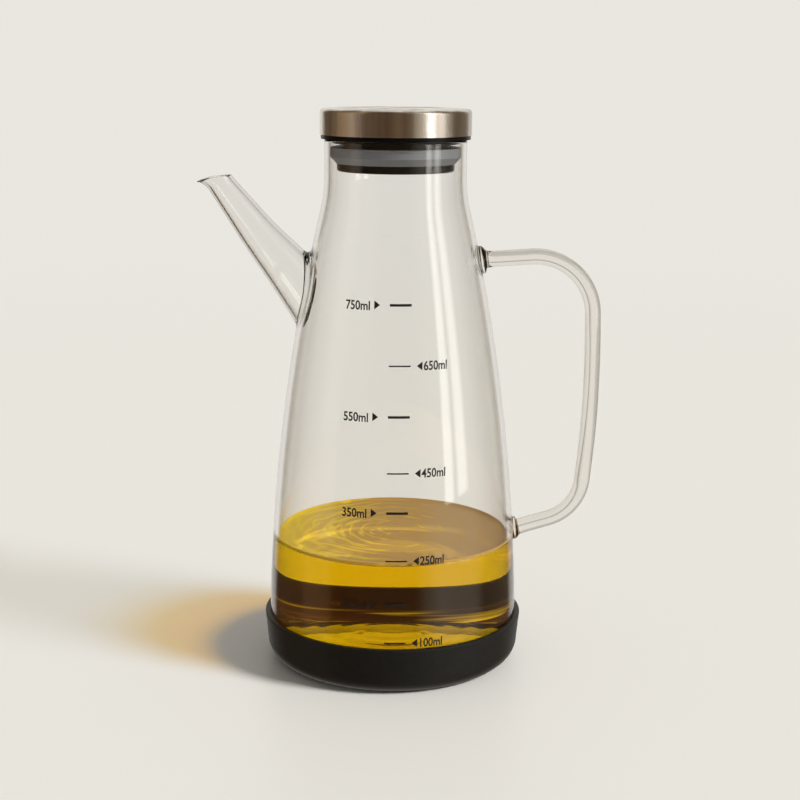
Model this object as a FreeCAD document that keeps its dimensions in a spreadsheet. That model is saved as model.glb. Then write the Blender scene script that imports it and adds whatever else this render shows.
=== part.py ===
import FreeCAD, Part
import math
import os
import re
import Sketcher

# A glass oil jug with a tapered pouring spout and a bent rod handle, a steel-capped stopper that rests in
# its mouth, a black silicone boot under it, and the oil inside. Millimetres; +Z up, the spout towards -X,
# the handle towards +X, and the origin on the jug's axis at the table.
SIZES = {
    # glass body
    "body_radius": 47.75,      # outside, at its widest
    "widest_height": 3.0,      # height at which the side is upright
    "neck_radius": 26.4,       # outside, where the neck runs straight
    "neck_length": 13.9311,    # of that straight part, up to the rim
    "shoulder_curve": 50.0,    # radius of the hollow bend from side to neck
    "jug_height": 197.0,       # from the foot to the rim
    "glass_wall": 2.0,
    "glass_floor": 2.6,
    "corner_curve": 9.0,       # outside, between foot and side
    "inner_corner": 6.5,       # inside, between floor and side
    "punt_height": 10.0,       # how far the underside is pushed up in the middle
    "foot_ring": 0.5,          # width of the flat ring that it stands on
    "rim_round": 0.9,
    # spout, drawn along its own leaning axis
    "spout_drop": 100.3,       # from the rim down to where its axis meets the jug's
    "spout_lean": 37.2,        # degrees from upright
    "spout_length": 108.7,     # along its axis, from the jug's axis to the mouth
    "spout_foot_radius": 10.9,
    "spout_foot": 44.0,        # along its axis, where that radius is, inside the body
    "spout_tip_radius": 5.2,
    "spout_wall": 1.2,
    "lip_start": 1.0,          # along its axis, before the middle of the mouth
    "lip_length": 5.0,
    "lip_flare": 2.0,
    "mouth_tilt": 6.0,         # degrees, the outer side lower
    "spout_fillet": 3.0,       # where the spout is melted on to the body
    # handle, a bent rod
    "rod_radius": 3.0,
    "handle_drop": 44.4,       # from the rim down to where its top leg meets the body
    "handle_foot": 50.4,       # height at which its lower leg does
    "top_bend_reach": 26.35,   # out from the body's widest to the corner of the top bend, before rounding
    "top_bend_drop": 41.5,     # from the rim down to it
    "grip_reach": 27.75,       # the same two for the slight bow of the grip, its height above the table
    "grip_up": 102.1,
    "low_bend_reach": 23.65,
    "low_bend_up": 58.0,
    "top_bend": 22.0,
    "grip_bend": 400.0,
    "low_bend": 18.0,
    "top_button": 5.2,         # radius of the melted button at the end of each leg
    "foot_button": 4.4,
    "button_rise": 1.8,
    "button_round": 1.2,
    # oil
    "oil_level": 49.0,         # above the table
    "fill_gap": 0.05,
    # boot
    "boot_floor": 2.0,
    "boot_height": 18.4,
    "boot_wall": 1.8,          # at its rim
    "boot_taper": 1.0,         # how much narrower it is at its corner
    "boot_corner": 8.0,
    "boot_rim_round": 0.6,
    "boot_gap": 0.1,
    # lid
    "lid_overhang": 1.6,       # beyond the neck
    "lid_height": 9.4,
    "lid_skin": 0.6,
    "lid_edge": 1.4,
    "seat_gap": 0.1,
    "flange_height": 1.5,
    "flange_inset": 0.35,
    "spool_rise": 3.0,         # from the seal up to the flange
    "seal_height": 5.9,
    "seal_width": 4.2,         # from the spool out to the seal's edge
    "seal_gap": 0.2,
    "seal_chamfer_in": 2.2,
    "seal_chamfer_up": 2.6,
    "disc_height": 2.8,
    "disc_inset": 0.25,
    "disc_round": 0.8,
    "piece_gap": 0.02,
}

doc = FreeCAD.newDocument("OilJug")
sheet = doc.addObject("Spreadsheet::Sheet", "Sizes")
for row, (alias, size) in enumerate(SIZES.items(), start=1):
    sheet.set(f"A{row}", alias)
    sheet.set(f"B{row}", str(size))
    sheet.setAlias(f"B{row}", alias)
doc.recompute()


def bound(text):
    """The expression with each name of the sheet written as FreeCAD reads it."""
    return re.sub(r"[a-z]+(?:_[a-z]+)+", lambda name: f"Sizes.{name.group()}", text)


def value(text):
    return float(sheet.evalExpression(bound(text)))


def add(*terms):
    return "(" + " + ".join(terms) + ")"


def less(first, *rest):
    return "(" + " - ".join((first,) + rest) + ")"


def place(feature, across, up, turn="0"):
    """Move and turn a sketch within its plane."""
    angle = value(turn)
    feature.AttachmentOffset = FreeCAD.Placement(
        FreeCAD.Vector(value(across), value(up), 0), FreeCAD.Rotation(FreeCAD.Vector(0, 0, 1), angle))
    feature.setExpression("AttachmentOffset.Base.x", bound(across))
    feature.setExpression("AttachmentOffset.Base.y", bound(up))
    if turn != "0":
        feature.setExpression("AttachmentOffset.Rotation.Angle", bound(turn))


def new_sketch(body, name, role="XZ_Plane"):
    sketch = body.newObject("Sketcher::SketchObject", name)
    plane = next(item for item in body.Origin.OriginFeatures if item.Role == role)
    sketch.AttachmentSupport = (plane, "")
    sketch.MapMode = "FlatFace"
    return sketch


def constrain(sketch, kind, *where, to=None):
    """Add a constraint, tied to an expression where one is given."""
    if to is None:
        sketch.addConstraint(Sketcher.Constraint(kind, *where))
        return
    index = sketch.addConstraint(Sketcher.Constraint(kind, *where, value(to)))
    name = f"Size{index}"
    sketch.renameConstraint(index, name)
    sketch.setExpression(f"Constraints.{name}", bound(to))


def pin(sketch, geometry, end, across, up):
    """Hold a point at a place given by two expressions."""
    if across == "0":
        constrain(sketch, "PointOnObject", geometry, end, -2)
    else:
        constrain(sketch, "DistanceX", -1, 1, geometry, end, to=across)
    if up == "0":
        constrain(sketch, "PointOnObject", geometry, end, -1)
    else:
        constrain(sketch, "DistanceY", -1, 1, geometry, end, to=up)


def arc_between(start, finish, radius):
    """The short arc from start to finish, and which of its ends is the start. It turns left if the radius is
    positive."""
    middle = (start + finish) * 0.5
    chord = finish - start
    left = FreeCAD.Vector(-chord.y, chord.x, 0).normalize()
    depth = (radius * radius - chord.Length ** 2 / 4) ** 0.5
    centre = middle + left * (depth if radius > 0 else -depth)
    first, last = (start, finish) if radius > 0 else (finish, start)
    axis = FreeCAD.Vector(1, 0, 0)
    turn = FreeCAD.Vector(0, 0, 1)

    def angle(point):
        arm = point - centre
        size = arm.getAngle(axis)
        return size if axis.cross(arm).dot(turn) >= 0 else -size

    begin, end = angle(first), angle(last)
    if end < begin:
        end += 2 * math.pi
    arc = Part.ArcOfCircle(Part.Circle(centre, turn, abs(radius)), begin, end)
    return arc, 1 if radius > 0 else 2


def outline(sketch, *points, closed=True):
    """Draw a chain of lines and arcs. A point is (across, up) or (across, up, radius), all expressions; the
    radius is of the arc that leads to the next point, negative where it turns right."""
    spots = [FreeCAD.Vector(value(point[0]), value(point[1]), 0) for point in points]
    count = len(points) if closed else len(points) - 1
    starts = []
    for number in range(count):
        here = spots[number]
        there = spots[(number + 1) % len(points)]
        if len(points[number]) == 2:
            sketch.addGeometry(Part.LineSegment(here, there), False)
            starts.append(1)
        else:
            radius = points[number][2]
            arc, start = arc_between(here, there, value(radius))
            sketch.addGeometry(arc, False)
            starts.append(start)
    for number in range(count):
        pin(sketch, number, starts[number], points[number][0], points[number][1])
        if len(points[number]) == 3:
            size = points[number][2].lstrip("-")
            constrain(sketch, "Radius", number, to=size)
        follower = (number + 1) % len(points)
        if follower < count:
            constrain(sketch, "Coincident", number, 3 - starts[number], follower, starts[follower])
        else:
            pin(sketch, number, 3 - starts[number], points[follower][0], points[follower][1])


def turned(body, kind, name, sketch, axis="V_Axis"):
    """Revolve a sketch once round one of its own axes."""
    feature = body.newObject(f"PartDesign::{kind}", name)
    feature.Profile = sketch
    feature.ReferenceAxis = (sketch, [axis])
    feature.Angle = 360
    doc.recompute()
    return feature


def new_body(label):
    body = doc.addObject("PartDesign::Body", label)
    body.Label = label
    return body


TOUCH = 0.01  # how near a point lies to a surface that it is on

# Heights that several pieces share.
FOOT = "boot_floor"
RIM = add("boot_floor", "jug_height")
FLANGE = add(RIM, "seat_gap")
CAP_EDGE = add(FLANGE, "flange_height")
SEAL_TOP = less(FLANGE, "spool_rise")
SEAL_FOOT = less(SEAL_TOP, "seal_height")

# The long convex side, whose radius carries it from its widest to where the neck runs straight.
SIDE_RISE = less(RIM, "neck_length", "widest_height")
TAPER = less("body_radius", "neck_radius")
SIDE_CURVE = f"(({SIDE_RISE}^2 + ({TAPER} - shoulder_curve)^2 - shoulder_curve^2) / (2 * {TAPER}))"


def side_radius(height, inset):
    """Radius of the long convex side at a height, the glass's outside moved in by the inset."""
    return add("body_radius", f"sqrt({less(SIDE_CURVE, inset)}^2 - ({height} - widest_height)^2)",
               "-" + SIDE_CURVE)


def corner_centre(floor, corner, inset):
    """Across and up of the centre of the corner between a flat floor and the convex side."""
    up = add(floor, corner)
    across = add("body_radius", f"sqrt({less(SIDE_CURVE, inset, corner)}^2 - ({up} - widest_height)^2)",
                 "-" + SIDE_CURVE)
    return across, up


def corner_end(floor, corner, inset):
    """Where that corner runs into the convex side."""
    across, up = corner_centre(floor, corner, inset)
    share = f"({less(SIDE_CURVE, inset)} / {less(SIDE_CURVE, inset, corner)})"
    hub = less("body_radius", SIDE_CURVE)
    rise = f"({up} - widest_height) * {share}"
    return add(hub, f"({across} - {hub}) * {share}"), add("widest_height", rise)


def shoulder_ends(inset):
    """Where the hollow shoulder leaves the convex side, and where it reaches the straight neck."""
    hub = less("body_radius", SIDE_CURVE)
    centre = add("neck_radius", "shoulder_curve")
    share = f"({less(SIDE_CURVE, inset)} / {add(SIDE_CURVE, 'shoulder_curve')})"
    side_end = (add(hub, f"({centre} - {hub}) * {share}"), add("widest_height", f"{SIDE_RISE} * {share}"))
    return side_end, (less("neck_radius", inset), add("widest_height", SIDE_RISE))


def dome_radius(rise, half_width):
    return f"(({half_width})^2 + ({rise})^2) / (2 * {rise})"


# The glass: a full outer shape with spout and handle melted on, then hollowed, so that every piece ends
# flush with the inside of the wall.
glass = new_body("glass_jug")

shape_sketch = new_sketch(glass, "BodyOutline")
low_centre = corner_centre(FOOT, "corner_curve", "0")[0]
punt_radius = less(low_centre, "foot_ring")
side_start = corner_end(FOOT, "corner_curve", "0")
side_end, neck_start = shoulder_ends("0")
outline(
    shape_sketch,
    ("0", RIM),
    ("0", add(FOOT, "punt_height"), "-" + dome_radius("punt_height", punt_radius)),
    (punt_radius, FOOT),
    (low_centre, FOOT, "corner_curve"),
    (*side_start, SIDE_CURVE),
    (*side_end, "-shoulder_curve"),
    neck_start,
    ("neck_radius", less(RIM, "rim_round"), "rim_round"),
    (less("neck_radius", "rim_round"), RIM),
)
turned(glass, "Revolution", "BodyShape", shape_sketch)


SPOUT_ROOT = less(RIM, "spout_drop")


def spout_sketch(name):
    """A sketch whose upright axis is the spout's own."""
    sketch = new_sketch(glass, name)
    place(sketch, "0", SPOUT_ROOT, "spout_lean")
    return sketch


def spout_radius(along):
    """Outside radius of the taper at a distance along its axis."""
    slope = "(spout_foot_radius - spout_tip_radius) / (spout_length - spout_foot)"
    return add("spout_tip_radius", f"(spout_length - {along}) * {slope}")


lip_from = less("spout_length", "lip_start")
lip_to = add(lip_from, "lip_length")
lip_bend = dome_radius("lip_flare", "lip_length")
spout_outside = spout_sketch("SpoutOutline")
outline(
    spout_outside,
    ("0", "0"),
    (spout_radius("0"), "0"),
    (spout_radius(lip_from), lip_from, "-" + lip_bend),
    (add(spout_radius(lip_from), "lip_flare"), lip_to),
    ("0", lip_to),
)
turned(glass, "Revolution", "SpoutShape", spout_outside)


def rounded(body, name, test, radius):
    """Round the edges of the body's latest shape that pass a test."""
    base = body.Tip
    names = [f"Edge{number}" for number, edge in enumerate(base.Shape.Edges, start=1)
             if not edge.Degenerated and test(edge)]
    fillet = body.newObject("PartDesign::Fillet", name)
    fillet.Base = (base, names)
    fillet.Radius = value(radius)
    fillet.setExpression("Radius", bound(radius))
    doc.recompute()
    return fillet


def is_seam(edge):
    """Whether an edge is where the spout runs into the side of the body."""
    def on_side(point):
        drop = (value(SIDE_CURVE) ** 2 - (point.z - value("widest_height")) ** 2) ** 0.5
        radius = value("body_radius") - value(SIDE_CURVE) + drop
        return abs((point.x ** 2 + point.y ** 2) ** 0.5 - radius) < TOUCH

    return all(point.x < 0 and on_side(point) for point in edge.discretize(7))


rounded(glass, "SpoutFillet", is_seam, "spout_fillet")


def lean_at(height):
    """Degrees by which the outward normal of the side tilts up at a height."""
    return f"asin(({height} - widest_height) / {SIDE_CURVE})"


def button(name, height, radius):
    """A melted button where a leg of the handle meets the side."""
    sketch = new_sketch(glass, name + "Outline")
    place(sketch, side_radius(height, "0"), height, lean_at(height))
    outline(
        sketch,
        ("-glass_wall", "0"),
        ("button_rise", "0"),
        ("button_rise", less(radius, "button_round"), "button_round"),
        (less("button_rise", "button_round"), radius),
        ("-glass_wall", radius),
    )
    turned(glass, "Revolution", name, sketch, "H_Axis")


def bend_points(before, corner, after, radius):
    """Where a bend of the given radius leaves the first straight and joins the second."""
    def length(a, b):
        return f"sqrt(({b[0]} - {a[0]})^2 + ({b[1]} - {a[1]})^2)"

    into, out = length(before, corner), length(corner, after)
    dot = (f"((({before[0]} - {corner[0]}) * ({after[0]} - {corner[0]})"
           f" + ({before[1]} - {corner[1]}) * ({after[1]} - {corner[1]})) / ({into} * {out}))")
    reach = f"({radius} * sqrt((1 + {dot}) / (1 - {dot})))"
    first = tuple(f"({corner[i]} + ({before[i]} - {corner[i]}) * {reach} / {into})" for i in (0, 1))
    second = tuple(f"({corner[i]} + ({after[i]} - {corner[i]}) * {reach} / {out})" for i in (0, 1))
    return first, second


def beyond(corner, wall):
    """The end of a leg, carried on past the outside of the wall into the body."""
    return tuple(f"({wall[i]} + ({wall[i]} - {corner[i]}) * 0.2)" for i in (0, 1))


handle_top = less(RIM, "handle_drop")
top_corner = (add("body_radius", "top_bend_reach"), less(RIM, "top_bend_drop"))
grip_corner = (add("body_radius", "grip_reach"), "grip_up")
low_corner = (add("body_radius", "low_bend_reach"), "low_bend_up")
top_end = beyond(top_corner, (side_radius(handle_top, "0"), handle_top))
low_end = beyond(low_corner, (side_radius("handle_foot", "0"), "handle_foot"))
top_from, top_to = bend_points(top_end, top_corner, grip_corner, "top_bend")
grip_from, grip_to = bend_points(top_corner, grip_corner, low_corner, "grip_bend")
low_from, low_to = bend_points(grip_corner, low_corner, low_end, "low_bend")
path = new_sketch(glass, "HandlePath")
outline(
    path,
    top_end,
    (*top_from, "-top_bend"),
    top_to,
    (*grip_from, "-grip_bend"),
    grip_to,
    (*low_from, "-low_bend"),
    low_to,
    low_end,
    closed=False,
)
section = new_sketch(glass, "RodSection", "YZ_Plane")
section.AttachmentOffset = FreeCAD.Placement(
    FreeCAD.Vector(0, value(top_end[1]), value(top_end[0])), FreeCAD.Rotation())
section.setExpression("AttachmentOffset.Base.y", bound(top_end[1]))
section.setExpression("AttachmentOffset.Base.z", bound(top_end[0]))
section.addGeometry(Part.Circle(FreeCAD.Vector(), FreeCAD.Vector(0, 0, 1), value("rod_radius")), False)
constrain(section, "Coincident", 0, 3, -1, 1)
constrain(section, "Radius", 0, to="rod_radius")
rod = glass.newObject("PartDesign::AdditivePipe", "HandleRod")
rod.Profile = section
rod.Spine = path
doc.recompute()
button("TopButton", handle_top, "top_button")
button("FootButton", "handle_foot", "foot_button")


def cavity(inset):
    """The start of the outline of the inside of the glass, moved in by a clearance."""
    wall = add("glass_wall", inset)
    floor = add(FOOT, "glass_floor", inset)
    centre, up = corner_centre(floor, "inner_corner", wall)
    start = corner_end(floor, "inner_corner", wall)
    return [
        ("0", add(floor, "punt_height"), "-" + dome_radius("punt_height", punt_radius)),
        (punt_radius, floor),
        (centre, floor, "inner_corner"),
        (*start, less(SIDE_CURVE, wall)),
    ]


inner_end, inner_neck = shoulder_ends("glass_wall")
hollow = new_sketch(glass, "HollowOutline")
outline(
    hollow,
    ("0", RIM),
    *cavity("0"),
    (*inner_end, "-" + add("shoulder_curve", "glass_wall")),
    inner_neck,
    (less("neck_radius", "glass_wall"), less(RIM, "rim_round"), "-rim_round"),
    (add(less("neck_radius", "glass_wall"), "rim_round"), RIM),
)
turned(glass, "Groove", "Hollow", hollow)

bore = spout_sketch("BoreOutline")
inner_lip = less(spout_radius(lip_from), "spout_wall")
outline(
    bore,
    ("0", "spout_wall"),
    (less(spout_radius("spout_foot"), "spout_wall"), "spout_wall"),
    (less(spout_radius("spout_foot"), "spout_wall"), "spout_foot"),
    (inner_lip, lip_from, "-" + lip_bend),
    (add(inner_lip, "lip_flare"), lip_to),
    ("0", lip_to),
)
turned(glass, "Groove", "SpoutBore", bore)

trim = new_sketch(glass, "MouthTrim")
mouth_up = add(SPOUT_ROOT, "spout_length * cos(spout_lean)")
place(trim, "-spout_length * sin(spout_lean)", mouth_up, "mouth_tilt")
trim_reach = "(4 * spout_tip_radius)"
outline(
    trim,
    ("-" + trim_reach, "0"),
    (trim_reach, "0"),
    (trim_reach, trim_reach),
    ("-" + trim_reach, trim_reach),
)
mouth = glass.newObject("PartDesign::Pocket", "MouthCut")
mouth.Profile = trim
mouth.Midplane = True
mouth.Length = value(f"2 * {trim_reach}")
mouth.setExpression("Length", bound(f"2 * {trim_reach}"))
doc.recompute()

# The oil fills the jug up to its level, a hair clear of the glass.
oil = new_body("oil")
fill = new_sketch(oil, "OilOutline")
fill_inset = add("glass_wall", "fill_gap")
outline(
    fill,
    ("0", "oil_level"),
    *cavity("fill_gap"),
    (side_radius("oil_level", fill_inset), "oil_level"),
)
turned(oil, "Revolution", "OilShape", fill)

# The boot is a cup that grips the foot of the glass.
boot = new_body("base_boot")
grip = add(side_radius("boot_height", "0"), "boot_gap")
boot_rim = add(grip, "boot_wall")
boot_side = less(boot_rim, "boot_taper")
boot_centre = corner_centre(FOOT, "corner_curve", "-boot_gap")[0]
boot_start = corner_end(FOOT, "corner_curve", "-boot_gap")
cup = new_sketch(boot, "BootOutline")
outline(
    cup,
    ("0", "0"),
    (less(boot_side, "boot_corner"), "0", "boot_corner"),
    (boot_side, "boot_corner"),
    (boot_rim, less("boot_height", "boot_rim_round"), "boot_rim_round"),
    (less(boot_rim, "boot_rim_round"), "boot_height"),
    (grip, "boot_height", "-" + add(SIDE_CURVE, "boot_gap")),
    (*boot_start, "-corner_curve"),
    (boot_centre, FOOT),
    ("0", FOOT),
)
turned(boot, "Revolution", "BootShape", cup)

# The lid rests on the rim: a drawn steel cap over a black stopper with a grey sealing ring.
cap = new_body("lid_cap")
cap_top = add(CAP_EDGE, "lid_height")
lid_radius = add("neck_radius", "lid_overhang")
cap_inner = less(lid_radius, "lid_skin")
drawn = new_sketch(cap, "CapOutline")
outline(
    drawn,
    ("0", less(cap_top, "lid_skin")),
    (less(lid_radius, "lid_edge"), less(cap_top, "lid_skin"), "-" + less("lid_edge", "lid_skin")),
    (cap_inner, less(cap_top, "lid_edge")),
    (cap_inner, CAP_EDGE),
    (lid_radius, CAP_EDGE),
    (lid_radius, less(cap_top, "lid_edge"), "lid_edge"),
    (less(lid_radius, "lid_edge"), cap_top),
    ("0", cap_top),
)
turned(cap, "Revolution", "CapShape", drawn)

bore_radius = less("neck_radius", "glass_wall")
seal_radius = less(bore_radius, "seal_gap")
spool_radius = less(seal_radius, "seal_width")
seal_low = less(seal_radius, "seal_chamfer_in")
disc_radius = less(seal_low, "disc_inset")
disc_foot = less(SEAL_FOOT, "disc_height")

plug = new_body("lid_plug")
spool = new_sketch(plug, "PlugOutline")
flange_radius = less(lid_radius, "flange_inset")
crown_radius = less(cap_inner, "piece_gap")
outline(
    spool,
    ("0", disc_foot),
    (less(disc_radius, "disc_round"), disc_foot, "disc_round"),
    (disc_radius, add(disc_foot, "disc_round")),
    (disc_radius, SEAL_FOOT),
    (spool_radius, SEAL_FOOT),
    (spool_radius, FLANGE),
    (flange_radius, FLANGE),
    (flange_radius, CAP_EDGE),
    (crown_radius, CAP_EDGE),
    (crown_radius, less(cap_top, "lid_edge")),
    (less(crown_radius, "lid_edge"), less(cap_top, "lid_skin", "piece_gap")),
    ("0", less(cap_top, "lid_skin", "piece_gap")),
)
turned(plug, "Revolution", "PlugShape", spool)

seal = new_body("lid_seal")
ring = new_sketch(seal, "SealOutline")
seal_inner = add(spool_radius, "piece_gap")
seal_base = add(SEAL_FOOT, "piece_gap")
outline(
    ring,
    (seal_inner, seal_base),
    (seal_low, seal_base),
    (seal_radius, add(seal_base, "seal_chamfer_up")),
    (seal_radius, SEAL_TOP),
    (seal_inner, SEAL_TOP),
)
turned(seal, "Revolution", "SealShape", ring)

doc.recompute()
failed = [item.Name for item in doc.Objects if "Invalid" in item.State or "Error" in item.State]
if failed:
    raise RuntimeError("these objects failed: " + ", ".join(failed))
os.makedirs("parts", exist_ok=True)
for body in (glass, oil, boot, cap, plug, seal):
    shape = body.Shape
    if shape.isNull() or not shape.isValid() or len(shape.Solids) != 1:
        raise RuntimeError(body.Label + " is not one valid solid")
    shape.exportStep(f"parts/{body.Label}.step")
    print(body.Label, round(shape.Volume, 1), "mm3")
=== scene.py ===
import math

import bmesh
import bpy
from mathutils import Euler, Matrix, Vector


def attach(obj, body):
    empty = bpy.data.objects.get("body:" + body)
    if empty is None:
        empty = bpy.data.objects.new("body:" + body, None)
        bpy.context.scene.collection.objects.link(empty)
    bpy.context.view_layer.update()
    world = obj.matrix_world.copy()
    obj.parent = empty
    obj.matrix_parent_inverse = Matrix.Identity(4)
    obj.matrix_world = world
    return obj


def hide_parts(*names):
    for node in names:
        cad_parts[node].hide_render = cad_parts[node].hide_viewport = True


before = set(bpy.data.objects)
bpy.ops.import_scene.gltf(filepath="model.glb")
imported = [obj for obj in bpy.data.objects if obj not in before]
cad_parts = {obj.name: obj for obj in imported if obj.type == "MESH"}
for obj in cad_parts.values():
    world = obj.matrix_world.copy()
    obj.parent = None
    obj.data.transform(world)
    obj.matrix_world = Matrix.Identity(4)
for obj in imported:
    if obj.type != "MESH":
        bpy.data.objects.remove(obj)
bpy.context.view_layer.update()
scene = bpy.context.scene
scene.view_settings.view_transform = "Standard"


# The place it stands in: a camera a little above the table, a pale round table, and a cream wall all round it.
# Two tall windows stand on the right, slightly in front of the jug, and a wide dim one on the left.
camera = bpy.data.objects.new("camera", bpy.data.cameras.new("camera"))
camera.data.lens = 72.42
camera.data.sensor_width = 36
camera.data.clip_start = 0.01
camera.location = (0.0023, -0.5998, 0.2282)
camera.rotation_euler = (
    Euler((math.radians(77.997), 0, 0)).to_matrix() @ Euler((0, 0, math.radians(0.45))).to_matrix()
).to_euler()
scene.collection.objects.link(camera)
scene.camera = camera

TABLE_COLOUR = (0.871, 0.871, 0.853, 1)
WALL_COLOUR = (0.82, 0.795, 0.75, 1)
SHADE_COLOUR = (0.30, 0.285, 0.26, 1)
ROOM = (
    # bearing to the right of the camera's side in degrees, colour of the room there
    (-180, (0.82, 0.795, 0.75)),
    (-147, (0.80, 0.77, 0.72)),
    (-138, (0.115, 0.075, 0.042)),
    (-96, (0.15, 0.10, 0.058)),
    (-88, (0.34, 0.22, 0.115)),
    (-64, (0.32, 0.20, 0.10)),
    (-56, (0.075, 0.047, 0.026)),
    (-40, (0.085, 0.053, 0.03)),
    (-32, (0.11, 0.069, 0.038)),
    (22, (0.12, 0.075, 0.041)),
    (32, (0.30, 0.24, 0.17)),
    (46, (0.5, 0.45, 0.38)),
    (84, (0.42, 0.37, 0.3)),
    (96, (0.16, 0.125, 0.09)),
    (138, (0.18, 0.14, 0.10)),
    (147, (0.80, 0.77, 0.72)),
    (180, (0.82, 0.795, 0.75)),
)


def add_node(tree, kind, **settings):
    """A shader node with its settings; a socket is given as in_NAME or in_NUMBER, as a value or a link."""
    node = tree.nodes.new(kind)
    for key, setting in settings.items():
        if not key.startswith("in_"):
            setattr(node, key, setting)
    for key, setting in settings.items():
        if key.startswith("in_"):
            name = key[3:]
            socket = node.inputs[int(name)] if name.isdigit() else node.inputs[name.replace("_", " ")]
            if isinstance(setting, bpy.types.NodeSocket):
                tree.links.new(setting, socket)
            else:
                socket.default_value = setting
    return node


def add_maths(tree, operation, *terms, **settings):
    """The result of a sum over numbers or sockets."""
    given = {f"in_{i}": term for i, term in enumerate(terms)}
    return add_node(tree, "ShaderNodeMath", operation=operation, **given, **settings).outputs[0]


def add_vector_maths(tree, operation, *terms):
    """The result of a sum over vectors, a number for a length or a dot product."""
    given = {f"in_{i}": term for i, term in enumerate(terms)}
    node = add_node(tree, "ShaderNodeVectorMath", operation=operation, **given)
    return node.outputs["Value" if operation in ("LENGTH", "DOT_PRODUCT") else "Vector"]


def add_ramp(tree, share, stops):
    """A colour for a share from 0 to 1, by way of stops of (position, colour)."""
    ramp = add_node(tree, "ShaderNodeValToRGB", in_0=share)
    while len(ramp.color_ramp.elements) < len(stops):
        ramp.color_ramp.elements.new(0.5)
    for stop, (position, colour) in zip(ramp.color_ramp.elements, stops):
        stop.position = position
        stop.color = (*colour, 1)
    return ramp.outputs[0]


def add_rise(tree, value, low, high, **settings):
    """A soft rise from 0 to 1 as a value goes from low to high; settings can give other ends."""
    return add_node(tree, "ShaderNodeMapRange", interpolation_type="SMOOTHSTEP", in_Value=value,
                    in_From_Min=low, in_From_Max=high, **settings).outputs[0]


def mix_colours(tree, share, first, second):
    """The first colour where the share is 0, the second where it is 1."""
    return add_node(tree, "ShaderNodeMix", data_type="RGBA", in_0=share, in_6=first, in_7=second).outputs[2]


def mix_shaders(tree, share, first, second):
    """The first shader where the share is 0, the second where it is 1."""
    return add_node(tree, "ShaderNodeMixShader", in_0=share, in_1=first, in_2=second).outputs[0]


def mirror_rays(tree):
    """1 where a ray has been mirrored on its way, 0 for what is seen directly or through glass."""
    rays = add_node(tree, "ShaderNodeLightPath")
    return add_maths(tree, "MINIMUM", rays.outputs["Glossy Depth"], 1.0)


def new_material(name):
    """An empty material and its node tree."""
    material = bpy.data.materials.new(name)
    material.use_nodes = True
    material.node_tree.nodes.clear()
    return material, material.node_tree


world = bpy.data.worlds.new("room")
world.use_nodes = True
scene.world = world
tree = world.node_tree
tree.nodes.clear()
rays = add_node(tree, "ShaderNodeLightPath")
direction = add_node(tree, "ShaderNodeTexCoord").outputs["Generated"]
split = add_node(tree, "ShaderNodeSeparateXYZ", in_0=direction)
front = add_maths(tree, "MULTIPLY", split.outputs["Y"], -1.0)
bearing = add_maths(tree, "ARCTAN2", split.outputs["X"], front)
share = add_node(tree, "ShaderNodeMapRange", in_Value=bearing, in_From_Min=-math.pi, in_From_Max=math.pi)
room = add_ramp(tree, share.outputs[0], [((degrees + 180) / 360, colour) for degrees, colour in ROOM])
plain = mix_colours(tree, rays.outputs["Is Diffuse Ray"], WALL_COLOUR, SHADE_COLOUR)
mirrored = add_maths(tree, "SUBTRACT", mirror_rays(tree), rays.outputs["Is Diffuse Ray"], use_clamp=True)
background = add_node(tree, "ShaderNodeBackground", in_Color=mix_colours(tree, mirrored, plain, room),
                      in_Strength=1.0)
add_node(tree, "ShaderNodeOutputWorld", in_Surface=background.outputs[0])

TABLE_RADIUS = 6.0
FADE_FROM = 0.55
FADE_TO = 1.5
table_finish, tree = new_material("white_table")
top_shader = add_node(tree, "ShaderNodeBsdfPrincipled", in_Base_Color=TABLE_COLOUR, in_Roughness=0.45)
far_wall = add_node(tree, "ShaderNodeEmission", in_Color=WALL_COLOUR, in_Strength=1.0)
distance = add_vector_maths(tree, "LENGTH", add_node(tree, "ShaderNodeTexCoord").outputs["Object"])
faded = mix_shaders(tree, add_rise(tree, distance, FADE_FROM, FADE_TO), top_shader.outputs[0], far_wall.outputs[0])
gap = add_node(tree, "ShaderNodeBsdfTransparent")
add_node(tree, "ShaderNodeOutputMaterial",
         in_Surface=mix_shaders(tree, mirror_rays(tree), faded, gap.outputs[0]))
mesh = bmesh.new()
bmesh.ops.create_circle(mesh, cap_ends=True, segments=128, radius=TABLE_RADIUS)
table = bpy.data.objects.new("table_top", bpy.data.meshes.new("table_top"))
mesh.to_mesh(table.data)
mesh.free()
table.data.materials.append(table_finish)
scene.collection.objects.link(table)


def add_window(name, bearing_degrees, width, foot, head, distance, strength):
    """A window, seen only as a reflection: its bearing to the right of the camera's side, sizes in metres."""
    lamp = bpy.data.lights.new(name, "AREA")
    lamp.shape = "RECTANGLE"
    lamp.size = width
    lamp.size_y = head - foot
    lamp.energy = strength * width * (head - foot) * math.pi
    lamp.color = (1, 0.985, 0.95)
    item = bpy.data.objects.new(name, lamp)
    turn = math.radians(bearing_degrees)
    item.location = (math.sin(turn) * distance, -math.cos(turn) * distance, (foot + head) / 2)
    item.rotation_euler = (math.radians(90), 0, turn)
    item.visible_camera = False
    item.visible_diffuse = False
    scene.collection.objects.link(item)


add_window("near_window", 56.0, 0.33, -0.15, 1.9, 2.0, 3.0)
add_window("far_window", 71.5, 0.40, -0.15, 1.9, 2.0, 2.6)
add_window("left_window", -68.0, 0.8, -0.3, 1.9, 2.0, 0.22)

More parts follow.
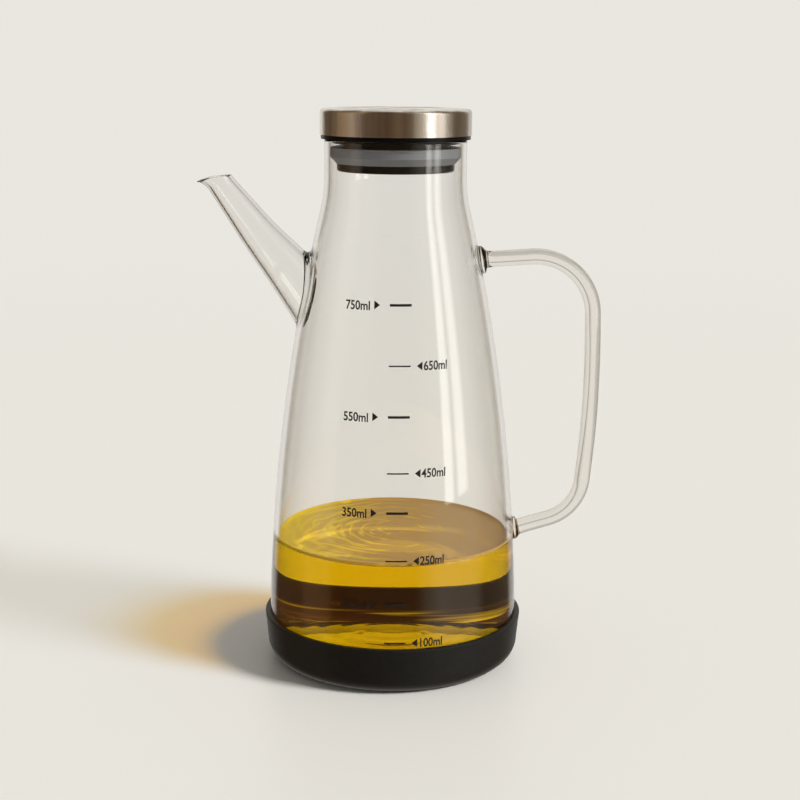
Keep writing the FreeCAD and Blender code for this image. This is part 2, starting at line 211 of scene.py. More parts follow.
SUN_BEARING = math.radians(66)
SUN_HEIGHT = math.radians(34)
daylight = bpy.data.lights.new("daylight", "SUN")
daylight.energy = 3.6
daylight.angle = math.radians(16)
daylight.color = (1, 0.975, 0.93)
sun = bpy.data.objects.new("daylight", daylight)
towards = Vector((math.sin(SUN_BEARING) * math.cos(SUN_HEIGHT), -math.cos(SUN_BEARING) * math.cos(SUN_HEIGHT),
                  math.sin(SUN_HEIGHT)))
sun.rotation_euler = towards.to_track_quat("Z", "Y").to_euler()
sun.visible_glossy = False
sun.visible_transmission = False
scene.collection.objects.link(sun)


# The jug: one piece of blown borosilicate glass with a pushed-up bottom and a fire-polished rim. The tapered
# spout and the bent rod of the handle are melted on, each with a soft bead where it joins the wall.
# Sizes are in millimetres; WIDEST, NECK_START, RIM and WET_UP_TO are heights above the table.
MM = 0.001
BODY_RADIUS = 47.75
WIDEST = 3.0
SIDE_CURVE = 737.0
NECK_RADIUS = 26.4
NECK_START = 185.069
SHOULDER_CURVE = 50.0
WALL = 2.0
FOOT = 2.0
FLOOR = 4.6
RIM = 199.0
RIM_ROUND = 0.95
RIM_STEPS = 12
CORNER = 9.0
INNER_CORNER = 6.5
PUNT = 10.0
FOOT_RING = 0.5
WET_UP_TO = 50.0
RIPPLE = 0.10
RIPPLE_PITCH = 1.25
DENT = 0.09
DENT_STEPS = 3.5
DENT_END = 34
BOTTOM_STEPS = 48
BEND_STEPS = 42
COLUMNS = 192
HUB = BODY_RADIUS - SIDE_CURVE


def wall_radius(height, inset=0.0):
    """Radius of the glass at a height, moved in from its outside by the inset."""
    side_end = WIDEST + (NECK_START - WIDEST) * (SIDE_CURVE - inset) / (SIDE_CURVE + SHOULDER_CURVE)
    if height <= side_end:
        return HUB + math.sqrt((SIDE_CURVE - inset) ** 2 - (height - WIDEST) ** 2)
    if height <= NECK_START:
        drop = NECK_START - height
        return NECK_RADIUS + SHOULDER_CURVE - math.sqrt((SHOULDER_CURVE + inset) ** 2 - drop ** 2)
    return NECK_RADIUS - inset


def corner_middle(floor, corner, inset):
    """Across and up of the centre of the bend between floor and side."""
    up = floor + corner
    return HUB + math.sqrt((SIDE_CURVE - inset - corner) ** 2 - (up - WIDEST) ** 2), up


def bottom_profile(floor, corner, inset):
    """From the middle of the pushed-up bottom out to the side, as (across, up), with the waves of blown glass."""
    reach = corner_middle(FOOT, CORNER, 0.0)[0] - FOOT_RING
    dome = (reach ** 2 + PUNT ** 2) / (2 * PUNT)
    points = []
    for across in [reach * i / BOTTOM_STEPS for i in range(BOTTOM_STEPS)] + [reach - 0.3, reach]:
        calm = min(1.0, across / 20) * min(1.0, (reach - across) / 4)
        up = floor + PUNT - dome + math.sqrt(dome ** 2 - across ** 2)
        points.append((across, up + RIPPLE * math.sin(across * RIPPLE_PITCH) * calm))
    across, up = corner_middle(floor, corner, inset)
    for i in range(BEND_STEPS + 1):
        turn = math.radians(-90 + 90 * i / BEND_STEPS)
        dent = 0.0 if inset else DENT * (1 - math.cos(math.pi * i / DENT_STEPS)) * max(0.0, 1 - i / DENT_END)
        points.append((across + (corner - dent) * math.cos(turn), up + (corner - dent) * math.sin(turn)))
    return points


# rows up the side, closer together where the neck begins
heights = ([12.0 + 2 * i for i in range(81)] + [173.0 + 1.3 * i for i in range(10)]
           + [187.0, 190.0, 193.0, 196.0, 197.6])
rim_middle = NECK_RADIUS - WALL / 2
rim_turns = [math.pi * i / RIM_STEPS for i in range(RIM_STEPS + 1)]
rows = [("outer", *point) for point in bottom_profile(FOOT, CORNER, 0.0)]
rows += [("outer", wall_radius(height), height) for height in heights]
rows += [("rim", rim_middle + math.cos(turn) * WALL / 2, RIM - RIM_ROUND + math.sin(turn) * RIM_ROUND)
         for turn in rim_turns]
rows += [("inner", wall_radius(height, WALL), height) for height in reversed(heights)]
rows += [("inner", *point) for point in reversed(bottom_profile(FLOOR, INNER_CORNER, WALL))]


class Opening:
    """A patch left open in one side of the wall for what is melted on there."""

    EDGE = 0.999

    def __init__(self, side, turn, low, high, columns):
        self.side, self.low, self.high, self.columns = side, low, high, columns
        self.first = round(turn / (2 * math.pi) * COLUMNS) - columns // 2
        self.right = 1 if math.cos(turn) > 0 else -1

    def spot(self, side, column, height):
        """How far a place of the net is from the patch's middle, 1 at its edges; None if it is outside."""
        offset = (column - self.first) % COLUMNS
        if side != self.side or offset > self.columns or not self.low <= height <= self.high:
            return None
        across = self.right * (2 * offset / self.columns - 1)
        return across, (2 * height - self.low - self.high) / (self.high - self.low)

    def within(self, side, column, height):
        """True for a place inside the patch and off its edges."""
        spot = self.spot(side, column, height)
        return spot is not None and max(map(abs, spot)) < self.EDGE

    def rim(self):
        """The vertices round the patch, from its top by way of +Y."""
        found = []
        for (side, _, height), row in zip(rows, net):
            for column, vertex in enumerate(row):
                spot = self.spot(side, column, height)
                if spot and max(map(abs, spot)) > self.EDGE:
                    found.append((math.atan2(*spot) % (2 * math.pi), vertex))
        return [vertex for _, vertex in sorted(found, key=lambda item: item[0])]


openings = (
    # side of the wall, its bearing, lowest and highest row, columns across
    Opening("outer", math.pi, 112, 170, 30),
    Opening("inner", math.pi, 112, 170, 30),
    Opening("outer", 0.0, 146, 162, 14),
    Opening("outer", 0.0, 42, 58, 14),
)
spout_outside, spout_inside, handle_top, handle_foot = openings
DRY, WETTED, WORKED, DRAWN = range(4)
jug_mesh = bmesh.new()
net = []
for side, across, up in rows:
    if across < 1e-6:
        net.append([jug_mesh.verts.new((0, 0, up * MM))] * COLUMNS)
        continue
    row = []
    for column in range(COLUMNS):
        if any(opening.within(side, column, up) for opening in openings):
            row.append(None)
        else:
            turn = 2 * math.pi * column / COLUMNS
            row.append(jug_mesh.verts.new((across * math.cos(turn) * MM, across * math.sin(turn) * MM, up * MM)))
    net.append(row)
for number in range(len(rows) - 1):
    side, _, first_up = rows[number]
    second_up = rows[number + 1][2]
    wet = side == "inner" and max(first_up, second_up) < WET_UP_TO + 0.01
    for column in range(COLUMNS):
        after = (column + 1) % COLUMNS
        if any(opening.spot(side, column, first_up) and opening.spot(side, after, first_up)
               and opening.spot(side, column, second_up) for opening in openings):
            continue
        corners = (net[number][column], net[number][after], net[number + 1][after], net[number + 1][column])
        face = jug_mesh.faces.new(list(dict.fromkeys(corners)))
        face.material_index = WETTED if wet else DRY


def bridge(first, second):
    """Faces between two rings with as many vertices as each other."""
    for i in range(len(first)):
        j = (i + 1) % len(first)
        jug_mesh.faces.new((first[i], first[j], second[j], second[i]))


def ring_after(before, points):
    """A new ring of vertices at places in millimetres, joined to the one before."""
    after = [jug_mesh.verts.new(point * MM) for point in points]
    bridge(before, after)
    return after


def on_wall(point, inset):
    """The place on the wall at a point's own height and bearing."""
    flat = math.hypot(point.x, point.y)
    across = wall_radius(point.z, inset)
    return Vector((point.x * across / flat, point.y * across / flat, point.z))


def spread(loop, sizes):
    """A loop moved outwards by a distance for each of its points."""
    middle = sum(loop, Vector()) / len(loop)
    moved = []
    for i, point in enumerate(loop):
        along = (loop[(i + 1) % len(loop)] - loop[i - 1]).normalized()
        out = point - middle
        out -= along * out.dot(along)
        moved.append(point + out.normalized() * sizes[i])
    return moved


def fill_patch(opening, loop, inset, steps):
    """Fill the wall from a patch's rim in to a loop that lies on it; returns the loop's vertices."""
    rim = opening.rim()
    starts = [vertex.co / MM for vertex in rim]
    before = rim
    for step in range(1, steps + 1):
        before = ring_after(before, [on_wall(start.lerp(point, step / steps), inset)
                                     for start, point in zip(starts, loop)])
    return before


LEAN = math.radians(37.2)
SPOUT_ROOT = Vector((0, 0, 98.7))
SPOUT_AXIS = Vector((-math.sin(LEAN), 0, math.cos(LEAN)))
SPOUT_UP = Vector((math.cos(LEAN), 0, math.sin(LEAN)))
SPOUT_LENGTH = 108.7
SPOUT_WALL = 1.2
TIP_RADIUS = 5.2
LOW_RADIUS = 10.9
LOW_RADIUS_AT = 44.0
SAG = 1.1
SAG_FROM = 60.0
SAG_LENGTH = 26.0
SAG_SLIMMER = 0.5
MOUTH_TILT = math.radians(6)
MOUTH = SPOUT_ROOT + SPOUT_AXIS * SPOUT_LENGTH
MOUTH_NORMAL = Vector((-math.sin(MOUTH_TILT), 0, math.cos(MOUTH_TILT)))
FLARE_LENGTH = 5.5
FLARE_ROUND = 0.2
FLARE_BELOW = 2.1
BEAD = 0.78
BEAD_STEPS = 12
BEAD_DROP = 0.45
SEAM_STEPS = 8
SPOUT_STEPS = 36
SPOUT_COLUMNS = 118
SIDEWAYS = Vector((0, 1, 0))
bearings = [2 * math.pi * i / SPOUT_COLUMNS for i in range(SPOUT_COLUMNS)]


def out_of_spout(bearing):
    """The direction away from the spout's axis at a bearing round it, 0 on its upper side."""
    return SPOUT_UP * math.cos(bearing) + SIDEWAYS * math.sin(bearing)


def spout_point(along, bearing, inset):
    """A place on the spout, which tapers to its tip and sags a little past its root."""
    taper = (SPOUT_LENGTH - along) * (LOW_RADIUS - TIP_RADIUS) / (SPOUT_LENGTH - LOW_RADIUS_AT)
    sag = min(1.0, max(0.0, (along - SAG_FROM) / SAG_LENGTH))
    sag = sag * sag * (3 - 2 * sag)
    middle = SPOUT_ROOT + SPOUT_AXIS * along - SPOUT_UP * SAG * sag
    return middle + out_of_spout(bearing) * (TIP_RADIUS + taper - inset - SAG_SLIMMER * sag)


def leaves_wall(bearing, inset, wall_inset):
    """How far along the spout its line at a bearing comes out of the wall."""
    low, high = 20.0, 100.0
    for _ in range(30):
        middle = (low + high) / 2
        point = spout_point(middle, bearing, inset)
        if math.hypot(point.x, point.y) < wall_radius(point.z, wall_inset):
            low = middle
        else:
            high = middle
    return low


def reaches_mouth(bearing, inset):
    """How far along the spout its line at a bearing reaches the slanting plane of the mouth."""
    near = (spout_point(SPOUT_LENGTH - 8, bearing, inset) - MOUTH).dot(MOUTH_NORMAL)
    far = (spout_point(SPOUT_LENGTH + 8, bearing, inset) - MOUTH).dot(MOUTH_NORMAL)
    return SPOUT_LENGTH - 8 + 16 * near / (near - far)


def draw_spout(opening, inset, wall_inset, on_side, on_tube):
    """One wall of the spout, up to its mouth; returns the last ring and its last two loops of places.
    The seam's bead reaches on_side over the jug's wall and on_tube up the spout: all round, and more on top."""
    starts = [leaves_wall(bearing, inset, wall_inset) for bearing in bearings]
    seam = [spout_point(start, bearing, inset) for start, bearing in zip(starts, bearings)]
    upper = [max(0.0, math.cos(bearing)) for bearing in bearings]
    foot = [on_wall(point, wall_inset)
            for point in spread(seam, [on_side[0] + on_side[1] * share for share in upper])]
    lifted = [start + on_tube[0] + on_tube[1] * share for start, share in zip(starts, upper)]
    top = [spout_point(along, bearing, inset) for along, bearing in zip(lifted, bearings)]
    before = fill_patch(opening, foot, wall_inset, SEAM_STEPS)
    for step in range(1, SEAM_STEPS + 1):
        share = step / SEAM_STEPS
        before = ring_after(before, [a.lerp(b, share).lerp(b.lerp(c, share), share)
                                     for a, b, c in zip(foot, seam, top)])
    ends = [reaches_mouth(bearing, inset) - BEAD_DROP for bearing in bearings]
    places = top
    for step in range(1, SPOUT_STEPS + 1):
        share = 1 - (1 - step / SPOUT_STEPS) ** 1.4
        earlier, places = places, []
        for bearing, start, end in zip(bearings, lifted, ends):
            along = start + (end - start) * share
            below = max(0.0, -math.cos(bearing)) ** 1.5
            flare = max(0.0, 1 - (end - along) / FLARE_LENGTH) ** 2.2 * (FLARE_ROUND + FLARE_BELOW * below)
            places.append(spout_point(along, bearing, inset) + out_of_spout(bearing) * flare)
        before = ring_after(before, places)
    return before, earlier, places


outer_end, outer_earlier, outer_places = draw_spout(spout_outside, 0.0, 0.0, (1.8, 1.5), (2.0, 2.0))
inner_end, inner_earlier, inner_places = draw_spout(spout_inside, SPOUT_WALL, WALL, (1.6, 1.3), (1.8, 1.8))
before = outer_end
for step in range(1, BEAD_STEPS):
    points = []
    for outer, outer_low, inner, inner_low in zip(outer_places, outer_earlier, inner_places, inner_earlier):
        half = (inner - outer) / 2
        along = (outer - outer_low + inner - inner_low).normalized()
        along = (along - half.normalized() * along.dot(half.normalized())).normalized()
        rise = math.sqrt(BEAD ** 2 - half.length ** 2)
        first = math.atan2(-rise, -half.length)
        turn = -math.pi - first + (2 * first + math.pi) * step / BEAD_STEPS
        middle = outer + half + along * rise
        points.append(middle + (half.normalized() * math.cos(turn) + along * math.sin(turn)) * BEAD)
    before = ring_after(before, points)
bridge(before, inner_end)


def rounded_path(corners, radii):
    """Places and directions along a path of straight legs with rounded corners."""
    path = []
    start = corners[0]
    for corner, following, radius in zip(corners[1:-1], corners[2:], radii):
        arriving = (corner - start).normalized()
        leaving = (following - corner).normalized()
        swing = arriving.angle(leaving)
        reach = radius * math.tan(swing / 2)
        bend_start = corner - arriving * reach
        steps = max(1, round((bend_start - start).length / 4))
        path += [(start.lerp(bend_start, i / steps), arriving) for i in range(steps)]
        inwards = (leaving - arriving * leaving.dot(arriving)).normalized()
        steps = max(8, round(math.degrees(swing) / 4))
        for i in range(steps):
            turn = swing * i / steps
            place = bend_start + inwards * radius * (1 - math.cos(turn)) + arriving * radius * math.sin(turn)
            path.append((place, arriving * math.cos(turn) + inwards * math.sin(turn)))
        start = corner + leaving * reach
    steps = max(1, round((corners[-1] - start).length / 4))
    leaving = (corners[-1] - start).normalized()
    return path + [(start.lerp(corners[-1], i / steps), leaving) for i in range(steps + 1)]


ROD = 2.98
ROD_COLUMNS = 44
BUTTON = (
    # rise over the wall, radius as a share of the button's
    (0.12, 1.02), (0.35, 1.0), (0.8, 1.0), (1.2, 0.97), (1.55, 0.9), (1.85, 0.8), (2.1, 0.7), (2.5, 0.63),
)
BUTTON_EDGE = 0.7
BUTTON_DRAPE = 2.6
LEG_CLEAR = 5.0
TOP_CORNER = Vector((74.1, 0, 157.5))
GRIP_CORNER = Vector((75.5, 0, 102.1))
LOW_CORNER = Vector((71.4, 0, 58.0))
BEND_RADII = (22.0, 400.0, 18.0)
TOP_END, TOP_BUTTON = 154.6, 5.2
LOW_END, LOW_BUTTON = 50.4, 4.4
rod_turns = [2 * math.pi * i / ROD_COLUMNS for i in range(ROD_COLUMNS)]


def round_rod(middle, direction, radius):
    """Places round the rod, square to its direction."""
    upright = direction.cross(SIDEWAYS)
    return [middle + (upright * math.cos(turn) + SIDEWAYS * math.sin(turn)) * radius for turn in rod_turns]


def leg_end(opening, height, towards, size):
    """A melted button on the wall, drawn out into the rod; returns the rod's first ring and its middle."""
    start = Vector((wall_radius(height), 0, height))
    lean = math.asin((height - WIDEST) / SIDE_CURVE)
    normal = Vector((math.cos(lean), 0, math.sin(lean)))
    leg = (towards - start).normalized()

    def round_places(rise, radius):
        share = min(1.0, rise / BUTTON_DRAPE)
        places = []
        for flat in round_rod(start + leg * rise, normal.lerp(leg, share).normalized(), radius):
            draped = on_wall(flat - normal * rise, 0.0) + normal * rise
            places.append(draped.lerp(flat, share))
        return places

    before = fill_patch(opening, round_places(0.0, size + BUTTON_EDGE), 0.0, 4)
    for rise, share in BUTTON:
        before = ring_after(before, round_places(rise, max(ROD * 1.03, size * share)))
    return ring_after(before, round_places(LEG_CLEAR, ROD)), start + leg * LEG_CLEAR


rod_ring, rod_start = leg_end(handle_top, TOP_END, TOP_CORNER, TOP_BUTTON)
foot_ring, rod_end = leg_end(handle_foot, LOW_END, LOW_CORNER, LOW_BUTTON)
path = rounded_path([rod_start, TOP_CORNER, GRIP_CORNER, LOW_CORNER, rod_end], BEND_RADII)
for place, direction in path[1:-1]:
    rod_ring = ring_after(rod_ring, round_rod(place, direction, ROD))
bridge(rod_ring, [foot_ring[(ROD_COLUMNS // 2 - i) % ROD_COLUMNS] for i in range(ROD_COLUMNS)])
bmesh.ops.recalc_face_normals(jug_mesh, faces=jug_mesh.faces)

OFF_WALL = 0.7
jug = bpy.data.objects.new("jug_glass", bpy.data.meshes.new("jug_glass"))
for face in jug_mesh.faces:
    middle = face.calc_center_median() / MM
    if math.hypot(middle.x, middle.y) > wall_radius(min(middle.z, RIM)) + OFF_WALL:
        face.material_index = WORKED if middle.x < 0 else DRAWN
jug_mesh.to_mesh(jug.data)
jug_mesh.free()
jug.data.shade_smooth()
scene.collection.objects.link(jug)

GLASS_IOR = 1.47
GLASS_TINT = (0.985, 0.985, 0.975)
GLASS_SHADOW = (0.93, 0.925, 0.91, 1)
# painted shade at the edges of the clear glass and, darker, of the worked spout
PAINTED_THIN_EDGE = (0.8, 0.78, 0.74)
PAINTED_WORKED_EDGE = (0.22, 0.195, 0.16)
HANDLE_MIDDLE = (0.052, 0, 0.112)
DRAWN_BACK = (0.96, 0.945, 0.92, 1)
PAINTED_ROD_LINES = (
    # side of the rod from the inside (-1) to the outside (1) of the handle, painted light and shade let through
    (-1.0, 0.3), (-0.93, 0.88), (-0.38, 0.93), (-0.28, 0.16), (-0.19, 0.72), (-0.04, 0.97), (0.35, 0.94),
    (0.5, 0.5), (0.86, 0.4), (0.94, 0.85), (1.0, 0.25),
)


def painted_dark_edge(tree, edge):
    """The tint of glass with painted shade that darkens it where it is seen edge on."""
    turned = add_node(tree, "ShaderNodeLayerWeight", in_Blend=0.5)
    return add_ramp(tree, turned.outputs["Facing"], ((0.36, GLASS_TINT), (1.0, edge)))


def painted_rod_lines(tree):
    """The tint of drawn rod, with fine painted dark lines and painted light along it on the near side."""
    place = add_node(tree, "ShaderNodeTexCoord")
    out = add_vector_maths(tree, "SUBTRACT", place.outputs["Object"], HANDLE_MIDDLE)
    out = add_vector_maths(tree, "NORMALIZE", out)
    turned = add_vector_maths(tree, "DOT_PRODUCT", out, place.outputs["Normal"])
    share = add_node(tree, "ShaderNodeMapRange", in_Value=turned, in_From_Min=-1.0, in_From_Max=1.0)
    painted_lines = add_ramp(tree, share.outputs[0], [((side + 1) / 2, (light, light * 0.975, light * 0.93))
                                              for side, light in PAINTED_ROD_LINES])
    back = add_node(tree, "ShaderNodeNewGeometry").outputs["Backfacing"]
    return mix_colours(tree, back, painted_lines, DRAWN_BACK)


def clear_shadow(tree, shader, colour):
    """A shader as it is seen; shadows and the light round about get a plain clear colour in its place."""
    clear = add_node(tree, "ShaderNodeBsdfTransparent", in_Color=colour)
    rays = add_node(tree, "ShaderNodeLightPath")
    soft = add_maths(tree, "MAXIMUM", rays.outputs["Is Shadow Ray"], rays.outputs["Is Diffuse Ray"])
    return mix_shaders(tree, soft, shader, clear.outputs[0])


def finish_glass(tree, tint, mirror):
    """Clear glass of a tint; it mirrors less where oil wets it."""
    shader = add_node(tree, "ShaderNodeBsdfPrincipled", in_Base_Color=tint, in_Roughness=0.0, in_IOR=GLASS_IOR,
                      in_Transmission_Weight=1.0, in_Specular_IOR_Level=mirror)
    add_node(tree, "ShaderNodeOutputMaterial", in_Surface=clear_shadow(tree, shader.outputs[0], GLASS_SHADOW))


dry_glass, tree = new_material("clear_glass_finish")
finish_glass(tree, painted_dark_edge(tree, PAINTED_THIN_EDGE), 0.5)
wetted_glass, tree = new_material("wetted_glass_finish")
finish_glass(tree, (*GLASS_TINT, 1), 0.0)
worked_glass, tree = new_material("worked_glass_finish")
finish_glass(tree, painted_dark_edge(tree, PAINTED_WORKED_EDGE), 0.5)
drawn_glass, tree = new_material("drawn_glass_finish")
finish_glass(tree, painted_rod_lines(tree), 0.5)
for finish in (dry_glass, wetted_glass, worked_glass, drawn_glass):
    jug.data.materials.append(finish)
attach(jug, "root")
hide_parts("glass_jug")


# The oil: golden and clear, filled to a quarter of the height. Its side reaches a little into the glass, so
# that no gap of air shows between them, and its surface creeps up the wall and has a faint haze of painted light.
OIL_LEVEL = 49.0
INTO_WALL = 0.4
MENISCUS = 1.1
MENISCUS_WIDTH = 5.2
SURFACE_FROM = 0.04897
PAINTED_HAZE = 0.72
OIL_SHADOW = (0.95, 0.8, 0.42, 1)
OIL_DEPTH = (0.995, 0.926, 0.0, 1)


def turned_mesh(name, profile, steps, material):
    """A solid of revolution from (radius, height) points, with its faces outwards."""
    mesh = bmesh.new()
    rings = []
    for radius, height in profile:
        if radius < 1e-9:
            rings.append([mesh.verts.new((0, 0, height * MM))])
        else:
            rings.append([mesh.verts.new((radius * math.cos(2 * math.pi * i / steps) * MM,
                                          radius * math.sin(2 * math.pi * i / steps) * MM, height * MM))
                          for i in range(steps)])
    for low, high in zip(rings, rings[1:]):
        for i in range(steps):
            j = (i + 1) % steps
            corners = [low[i % len(low)], low[j % len(low)], high[j % len(high)], high[i % len(high)]]
            unique = list(dict.fromkeys(corners))
            if len(unique) > 2:
                mesh.faces.new(unique)
    bmesh.ops.recalc_face_normals(mesh, faces=mesh.faces)
    item = bpy.data.objects.new(name, bpy.data.meshes.new(name))
    mesh.to_mesh(item.data)
    mesh.free()
    item.data.shade_smooth()
    item.data.materials.append(material)
    scene.collection.objects.link(item)
    return item


def add_noise(tree, place, scale, detail):
    """Soft blotches of a scale, from 0 to 1."""
    return add_node(tree, "ShaderNodeTexNoise", in_Vector=place, in_Scale=scale, in_Detail=detail).outputs["Fac"]


oil, tree = new_material("cooking_oil_finish")
place = add_node(tree, "ShaderNodeTexCoord").outputs["Object"]
split = add_node(tree, "ShaderNodeSeparateXYZ", in_0=place)
reach = add_vector_maths(tree, "LENGTH", add_vector_maths(tree, "MULTIPLY", place, (1, 1, 0)))
# painted light and shade on the surface: brighter from the left, in rings bent a little out of round and in short
# streaks along them
painted_light_from_left = add_node(tree, "ShaderNodeMapRange", in_Value=split.outputs["X"], in_From_Min=-0.044, in_From_Max=0.034)
bent = add_maths(tree, "MULTIPLY_ADD", add_noise(tree, place, 38.0, 2.0), 0.022, reach)
rings = add_maths(tree, "SINE", add_maths(tree, "MULTIPLY", bent, 900.0))
rings = add_rise(tree, rings, 0.6, 1.0, in_To_Max=-0.25)
round_it = add_maths(tree, "ARCTAN2", split.outputs["Y"], split.outputs["X"])
spun = add_node(tree, "ShaderNodeCombineXYZ", in_0=add_maths(tree, "MULTIPLY", reach, 330.0), in_1=round_it)
painted_streaks = add_rise(tree, add_noise(tree, spun.outputs[0], 1.3, 2.0), 0.5, 0.72, in_To_Max=-0.35)
painted_shade_amount = add_maths(tree, "ADD", add_maths(tree, "ADD", rings, painted_light_from_left.outputs[0]), painted_streaks)
tint = add_ramp(tree, painted_shade_amount, ((0.0, (1.0, 0.70, 0.03)), (0.4, (0.62, 0.36, 0.07)), (1.0, (0.56, 0.35, 0.14))))
# the haze's colour carries the painted light and shade; it is mixed in on the surface only
painted_haze = add_node(tree, "ShaderNodeBsdfDiffuse", in_Color=tint)
clear_oil = add_node(tree, "ShaderNodeBsdfPrincipled", in_Base_Color=(1, 1, 1, 1), in_Roughness=0.0,
                     in_IOR=GLASS_IOR, in_Transmission_Weight=1.0, in_Specular_IOR_Level=0.0)
on_top = add_maths(tree, "GREATER_THAN", split.outputs["Z"], SURFACE_FROM)
seen = mix_shaders(tree, add_maths(tree, "MULTIPLY", on_top, PAINTED_HAZE), clear_oil.outputs[0], painted_haze.outputs[0])
depth = add_node(tree, "ShaderNodeVolumeAbsorption", in_Color=OIL_DEPTH, in_Density=90.0)
add_node(tree, "ShaderNodeOutputMaterial", in_Surface=clear_shadow(tree, seen, OIL_SHADOW),
         in_Volume=depth.outputs[0])

profile = bottom_profile(FLOOR - INTO_WALL, INNER_CORNER, WALL - INTO_WALL)
for i in range(25):
    height = 12.0 + (OIL_LEVEL + 0.9 - 12.0) * i / 24
    profile.append((wall_radius(height, WALL - INTO_WALL), height))
edge = wall_radius(OIL_LEVEL, WALL)
for i in range(11):
    back = MENISCUS_WIDTH * i / 10
    profile.append((edge - back, OIL_LEVEL + MENISCUS * math.exp(-back / 1.3) - MENISCUS * math.exp(-4.0)))
profile += [(edge * 0.7, OIL_LEVEL), (edge * 0.4, OIL_LEVEL), (0, OIL_LEVEL)]
fill = turned_mesh("oil_fill", profile, 256, oil)
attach(fill, "root")
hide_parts("oil")


# The boot: a cup of matt black silicone, moulded in one piece and pulled over the foot of the glass. Where it
# lies against the glass inside, low down, it has painted gleams in thin level bands: a bright colour and a glow,
# stronger to the left, for light come through the oil.
PAINTED_GLEAM_BANDS = (0.09, 0.09, 1)
PAINTED_GLEAM_COLOUR = (0.8, 1.0, 0.3, 1)
boot_finish, tree = new_material("black_silicone_finish")
coordinates = add_node(tree, "ShaderNodeTexCoord")
place = coordinates.outputs["Object"]
split = add_node(tree, "ShaderNodeSeparateXYZ", in_0=place)
# painted gleams: bright level bands low on the inside, and a glow that is stronger to the left
painted_gleam_bands = add_noise(tree, add_vector_maths(tree, "MULTIPLY", place, PAINTED_GLEAM_BANDS), 620.0, 1.5)
low_down = add_rise(tree, split.outputs["Z"], 0.0098, 0.0070)
painted_gleams = add_maths(tree, "MULTIPLY", add_rise(tree, painted_gleam_bands, 0.40, 0.62), low_down)
painted_gleam_tint = add_ramp(tree, painted_gleams, ((0.0, (0.045, 0.038, 0.03)), (1.0, (0.95, 0.85, 0.5))))
dust = add_noise(tree, place, 420.0, 3.0)
rubber = add_ramp(tree, dust, ((0.0, (0.006, 0.006, 0.0055)), (1.0, (0.013, 0.013, 0.0125))))
outwards = add_vector_maths(tree, "MULTIPLY", place, (1, 1, 0))
facing = add_vector_maths(tree, "DOT_PRODUCT", outwards, coordinates.outputs["Normal"])
inside = add_maths(tree, "LESS_THAN", facing, -0.01)
painted_glow_leftwards = add_node(tree, "ShaderNodeMapRange", in_Value=split.outputs["X"], in_From_Min=0.04,
                     in_From_Max=-0.035, in_To_Min=0.2, in_To_Max=1.3)
painted_glow = add_maths(tree, "MULTIPLY", add_maths(tree, "MULTIPLY", painted_gleams, painted_glow_leftwards.outputs[0]), inside)
boot_shader = add_node(tree, "ShaderNodeBsdfPrincipled", in_Base_Color=mix_colours(tree, inside, rubber, painted_gleam_tint),
                       in_Roughness=0.5, in_Specular_IOR_Level=0.35, in_Emission_Color=PAINTED_GLEAM_COLOUR,
                       in_Emission_Strength=painted_glow)
add_node(tree, "ShaderNodeOutputMaterial", in_Surface=boot_shader.outputs[0])


def give_finish(part, finish):
    """The one material of a solid that is kept as it is."""
    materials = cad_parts[part].data.materials
    materials.clear()
    materials.append(finish)


give_finish("base_boot", boot_finish)


# The stopper: a moulded spool of black plastic with a grey silicone ring pushed over it, pressed into a cap of
# brushed steel. It rests in the mouth by its own grip.


def plain_finish(name, colour, roughness, shine):
    """A material that is the same all over."""
    material, tree = new_material(name)
    shader = add_node(tree, "ShaderNodeBsdfPrincipled", in_Base_Color=colour, in_Roughness=roughness,
                      in_Specular_IOR_Level=shine)
    add_node(tree, "ShaderNodeOutputMaterial", in_Surface=shader.outputs[0])
    return material


give_finish("lid_plug", plain_finish("black_plastic_finish", (0.004, 0.004, 0.004, 1), 0.3, 0.1))
give_finish("lid_seal", plain_finish("grey_silicone_finish", (0.205, 0.216, 0.238, 1), 0.5, 0.2))

PAINTED_REFLECTION_STRETCH = (1, 1, 0.03)
steel, tree = new_material("brushed_steel_finish")
# painted reflections: upright stripes of lighter and darker colour for the room mirrored round the cap
place = add_node(tree, "ShaderNodeTexCoord").outputs["Object"]
drawn_out = add_vector_maths(tree, "MULTIPLY", place, PAINTED_REFLECTION_STRETCH)
painted_reflection_stripes = add_noise(tree, add_vector_maths(tree, "ADD", drawn_out, (0.2, 0.1, 0)), 120.0, 2.0)
painted_reflection_shade = add_ramp(tree, painted_reflection_stripes, ((0.38, (0.46, 0.415, 0.365)), (0.62, (0.92, 0.88, 0.83))))
grit = add_noise(tree, place, 2600.0, 1.0)
grain = add_node(tree, "ShaderNodeBump", in_Strength=0.35, in_Distance=0.00012, in_Height=grit)
round_about = add_node(tree, "ShaderNodeTangent", direction_type="RADIAL", axis="Z")
steel_shader = add_node(tree, "ShaderNodeBsdfPrincipled", in_Base_Color=painted_reflection_shade, in_Roughness=0.27, in_Metallic=1.0,
                        in_Anisotropic=0.85, in_Anisotropic_Rotation=0.25, in_Normal=grain.outputs[0],
                        in_Tangent=round_about.outputs[0])
add_node(tree, "ShaderNodeOutputMaterial", in_Surface=steel_shader.outputs[0])
give_finish("lid_cap", steel)


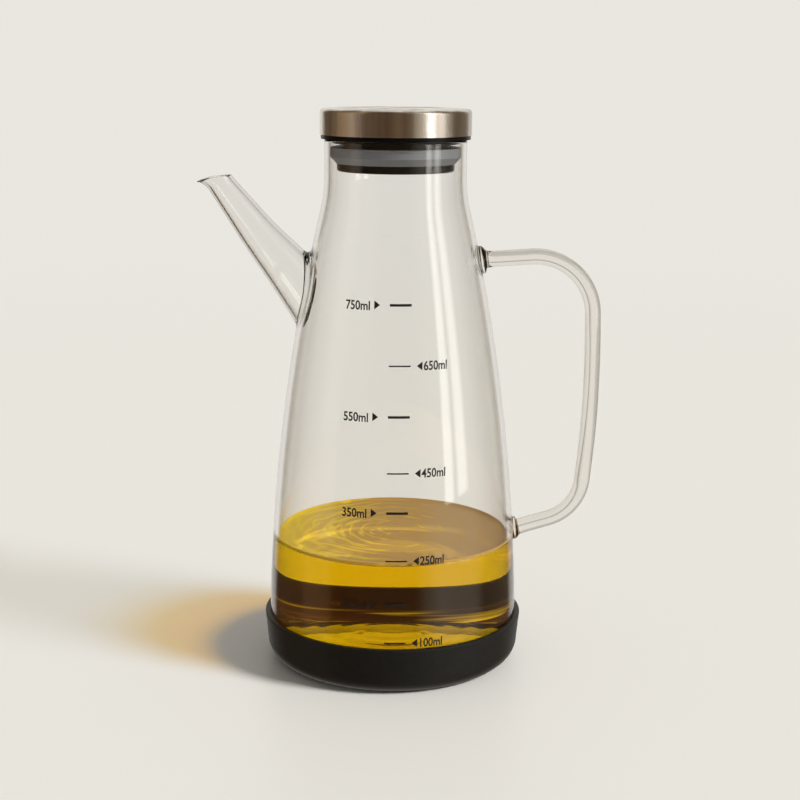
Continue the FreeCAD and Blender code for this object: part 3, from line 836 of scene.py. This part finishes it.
# The scale: black numbers, pointers and lines, screen printed on the front of the glass and burnt in. Numbers on
# the left and on the right take turns, each with a pointer at the end of its own line. Sizes are in metres.
PRINT_THICKNESS = 0.00004
PRINT_GAP = 0.00003
PRINT_LEAN = 0.0105
NUMBER_SIZE = 0.0047
NUMBER_WEIGHT = 0.00009
NUMBER_TALLNESS = 0.96
POINTER_LENGTH = 0.0021
POINTER_HALF = 0.00155
LINE_FROM, LINE_TO, LINE_STEPS = -0.0022, 0.0056, 8
SIDES = {
    # alignment of the number, its place across, its drop, its width as a share, the pointer's tip, the way it
    # points, half the line's thickness
    "left": ("RIGHT", -0.0092, 0.0005, 0.82, -0.0057, 1, 0.00045),
    "right": ("LEFT", 0.0103, 0.00015, 0.79, 0.0078, -1, 0.00026),
}
MARKS = (
    # amount, height, side of the number
    (750, 0.1423, "left"),
    (650, 0.1210, "right"),
    (550, 0.1030, "left"),
    (450, 0.0829, "right"),
    (350, 0.0686, "left"),
    (250, 0.0511, "right"),
    (150, 0.0348, "left"),
    (100, 0.0205, "right"),
)


def wrap(point):
    """Lay a flat print (across, up, out) round the glass, with its upper marks leaning to the right."""
    radius = wall_radius(point.y / MM) * MM + PRINT_GAP
    turn = (point.x + PRINT_LEAN * (point.y - 0.08)) / radius
    radius += point.z
    return Vector((radius * math.sin(turn), -radius * math.cos(turn), point.y))


def print_shape(mesh, outline, height):
    """A thin prism over an outline of (across, up) points."""
    top = [mesh.verts.new((x, y + height, PRINT_THICKNESS)) for x, y in outline]
    low = [mesh.verts.new((x, y + height, 0)) for x, y in outline]
    mesh.faces.new(top)
    mesh.faces.new(low[::-1])
    for i in range(len(outline)):
        j = (i + 1) % len(outline)
        mesh.faces.new((low[i], low[j], top[j], top[i]))


print_mesh = bmesh.new()
along = [LINE_FROM + (LINE_TO - LINE_FROM) * i / LINE_STEPS for i in range(LINE_STEPS + 1)]
for amount, height, side in MARKS:
    alignment, across, drop, width, tip, way, half = SIDES[side]
    text = bpy.data.curves.new("number", "FONT")
    text.body = f"{amount}ml"
    text.size = NUMBER_SIZE
    text.offset = NUMBER_WEIGHT
    text.extrude = PRINT_THICKNESS / 2
    text.resolution_u = 4
    text.align_x = alignment
    text.align_y = "CENTER"
    item = bpy.data.objects.new("number", text)
    scene.collection.objects.link(item)
    bpy.context.view_layer.update()
    number = bpy.data.meshes.new_from_object(item)
    number.transform(Matrix.Translation((across, height - drop, PRINT_THICKNESS / 2))
                     @ Matrix.Diagonal((width, NUMBER_TALLNESS, 1, 1)))
    print_mesh.from_mesh(number)
    bpy.data.objects.remove(item)
    back = tip - way * POINTER_LENGTH
    print_shape(print_mesh, [(tip, 0), (back, POINTER_HALF), (back, -POINTER_HALF)][::way], height)
    print_shape(print_mesh, [(x, -half) for x in along] + [(x, half) for x in reversed(along)], height)
for vertex in print_mesh.verts:
    vertex.co = wrap(vertex.co)
bmesh.ops.recalc_face_normals(print_mesh, faces=print_mesh.faces)
scale = bpy.data.objects.new("volume_scale", bpy.data.meshes.new("volume_scale"))
print_mesh.to_mesh(scale.data)
print_mesh.free()
scale.data.materials.append(plain_finish("black_ink", (0.012, 0.011, 0.01, 1), 0.5, 0.5))
scene.collection.objects.link(scale)
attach(scale, "root")
